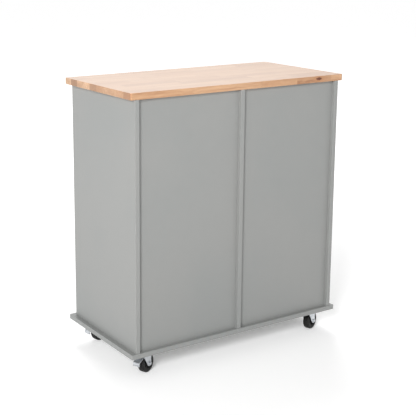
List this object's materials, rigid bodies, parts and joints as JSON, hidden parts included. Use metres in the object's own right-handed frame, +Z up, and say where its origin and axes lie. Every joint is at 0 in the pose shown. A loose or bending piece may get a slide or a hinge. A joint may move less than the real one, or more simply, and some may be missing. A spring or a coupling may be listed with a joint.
{
  "type": "kitchen cart",
  "caption": "Rolling kitchen cart with a butcher-block worktop, two drawers over two framed doors, recessed back panels and swivel casters with toe brakes.",
  "frame": {"origin": "on the floor, under the middle of the worktop", "axes": "+Z up, the doors and drawers face -Y, the back panels face +Y, +X to the right seen from the front"},
  "size_m": [0.85, 0.435, 0.938],
  "materials": {
    "butcher_block": "oiled",
    "grey_paint": "satin paint on board",
    "drawer_board": "clear lacquer",
    "dowel_wood": "raw",
    "zinc": "zinc plated",
    "bearing_steel": "polished",
    "nickel": "satin nickel",
    "catch_plastic": "moulded",
    "wheel_rubber": "moulded",
    "wheel_plastic": "moulded"
  },
  "bodies": {
    "root": {"worktop": "butcher_block", "base_board": "grey_paint", "side_panel_left": "grey_paint", "side_panel_right": "grey_paint", "centre_divider": "grey_paint", "back_panel_left": "grey_paint", "back_panel_right": "grey_paint", "top_rails": "grey_paint", "mid_rails": "grey_paint", "shelf_left": "grey_paint", "shelf_right": "grey_paint", "shelf_pins": "zinc", "panel_dowels": "dowel_wood", "base_screws": "zinc", "top_brackets": "zinc", "bracket_screws": "zinc", "cabinet_runners": "zinc", "hinge_side_leaves": "nickel", "hinge_pins": "nickel", "door_catches": "catch_plastic", "caster_plates": "zinc", "caster_kingpins": "zinc", "caster_balls": "bearing_steel", "caster_screws": "zinc"},
    "drawer_left": {"drawer_front_left": "grey_paint", "drawer_box_left": "drawer_board", "drawer_bottom_left": "drawer_board", "drawer_runners_left": "zinc", "drawer_knob_left": "nickel"},
    "door_left": {"door_frame_left": "grey_paint", "door_panel_left": "grey_paint", "door_knob_left": "nickel", "hinge_door_leaves_left": "nickel"},
    "drawer_right": {"drawer_front_right": "grey_paint", "drawer_box_right": "drawer_board", "drawer_bottom_right": "drawer_board", "drawer_runners_right": "zinc", "drawer_knob_right": "nickel"},
    "door_right": {"door_frame_right": "grey_paint", "door_panel_right": "grey_paint", "door_knob_right": "nickel", "hinge_door_leaves_right": "nickel"},
    "swivel_front_left": {"fork_front_left": "zinc", "axle_front_left": "zinc"},
    "wheel_front_left": {"tyre_front_left": "wheel_rubber", "hub_front_left": "wheel_plastic"},
    "swivel_front_right": {"fork_front_right": "zinc", "axle_front_right": "zinc"},
    "wheel_front_right": {"tyre_front_right": "wheel_rubber", "hub_front_right": "wheel_plastic"},
    "brake_front_right": {"brake_lever_front_right": "zinc"},
    "swivel_rear_left": {"fork_rear_left": "zinc", "axle_rear_left": "zinc"},
    "wheel_rear_left": {"tyre_rear_left": "wheel_rubber", "hub_rear_left": "wheel_plastic"},
    "swivel_rear_right": {"fork_rear_right": "zinc", "axle_rear_right": "zinc"},
    "wheel_rear_right": {"tyre_rear_right": "wheel_rubber", "hub_rear_right": "wheel_plastic"},
    "brake_rear_right": {"brake_lever_rear_right": "zinc"}
  },
  "joints": [
    {"name": "drawer_left_slide", "type": "slide", "parent": "root", "child": "drawer_left", "axis": [0, -1, 0], "range_m": [0, 0.25]},
    {"name": "door_left_hinge", "type": "hinge", "parent": "root", "child": "door_left", "pos_m": [-0.3918, -0.201, 0.4215], "axis": [0, 0, -1], "range_deg": [0, 170]},
    {"name": "drawer_right_slide", "type": "slide", "parent": "root", "child": "drawer_right", "axis": [0, -1, 0], "range_m": [0, 0.25]},
    {"name": "door_right_hinge", "type": "hinge", "parent": "root", "child": "door_right", "pos_m": [0.3918, -0.201, 0.4215], "axis": [0, 0, 1], "range_deg": [0, 170]},
    {"name": "caster_front_left_swivel", "type": "hinge", "parent": "root", "child": "swivel_front_left", "pos_m": [-0.352, -0.16, 0.07], "axis": [0, 0, 1], "continuous": true},
    {"name": "caster_front_left_roll", "type": "hinge", "parent": "swivel_front_left", "child": "wheel_front_left", "pos_m": [-0.36642, -0.16901, 0.03175], "axis": [-0.5299, 0.848, 0], "continuous": true},
    {"name": "caster_front_right_swivel", "type": "hinge", "parent": "root", "child": "swivel_front_right", "pos_m": [0.352, -0.16, 0.07], "axis": [0, 0, 1], "continuous": true},
    {"name": "caster_front_right_roll", "type": "hinge", "parent": "swivel_front_right", "child": "wheel_front_right", "pos_m": [0.3355, -0.16411, 0.03175], "axis": [-0.2419, 0.9703, 0], "continuous": true},
    {"name": "brake_front_right_press", "type": "hinge", "parent": "swivel_front_right", "child": "brake_front_right", "pos_m": [0.35979, -0.15806, 0.0625], "axis": [-0.2419, 0.9703, 0], "range_deg": [0, 10]},
    {"name": "caster_rear_left_swivel", "type": "hinge", "parent": "root", "child": "swivel_rear_left", "pos_m": [-0.352, 0.16, 0.07], "axis": [0, 0, 1], "continuous": true},
    {"name": "caster_rear_left_roll", "type": "hinge", "parent": "swivel_rear_left", "child": "wheel_rear_left", "pos_m": [-0.36787, 0.15391, 0.03175], "axis": [-0.3584, 0.9336, 0], "continuous": true},
    {"name": "caster_rear_right_swivel", "type": "hinge", "parent": "root", "child": "swivel_rear_right", "pos_m": [0.352, 0.16, 0.07], "axis": [0, 0, 1], "continuous": true},
    {"name": "caster_rear_right_roll", "type": "hinge", "parent": "swivel_rear_right", "child": "wheel_rear_right", "pos_m": [0.33659, 0.15282, 0.03175], "axis": [-0.4226, 0.9063, 0], "continuous": true},
    {"name": "brake_rear_right_press", "type": "hinge", "parent": "swivel_rear_right", "child": "brake_rear_right", "pos_m": [0.35928, 0.16339, 0.0625], "axis": [-0.4226, 0.9063, 0], "range_deg": [0, 10]}
  ]
}
